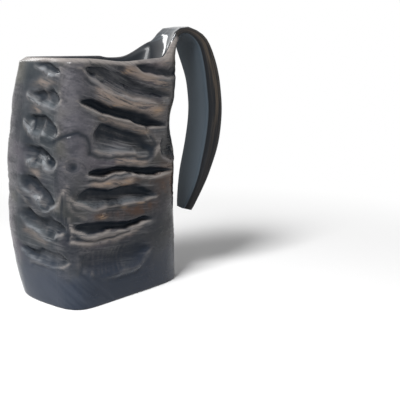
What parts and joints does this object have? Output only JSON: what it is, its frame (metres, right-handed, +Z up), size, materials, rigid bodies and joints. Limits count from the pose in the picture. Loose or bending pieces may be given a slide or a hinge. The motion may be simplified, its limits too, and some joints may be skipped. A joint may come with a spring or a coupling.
{
  "type": "horn tankard",
  "caption": "Squarish drinking mug of furrowed dark horn, open at the top, with a strap handle bent over from its own rim and a flush horn disc glued into the foot.",
  "frame": {"origin": "on the flat underside of the foot, near the middle of the foot's outline", "axes": "+Z up out of the mouth, +X towards the handle, +Y towards the back of the mug"},
  "size_m": [0.1429, 0.0771, 0.1703],
  "materials": {
    "horn": "polished dark natural horn, brown on the ridges and near black in the furrows",
    "plug_horn": "dark horn, sanded flat and satin",
    "adhesive": "black set adhesive, smooth"
  },
  "bodies": {
    "root": {"horn_body": "horn", "base_plug": "plug_horn", "base_seal": "adhesive"}
  },
  "joints": []
}
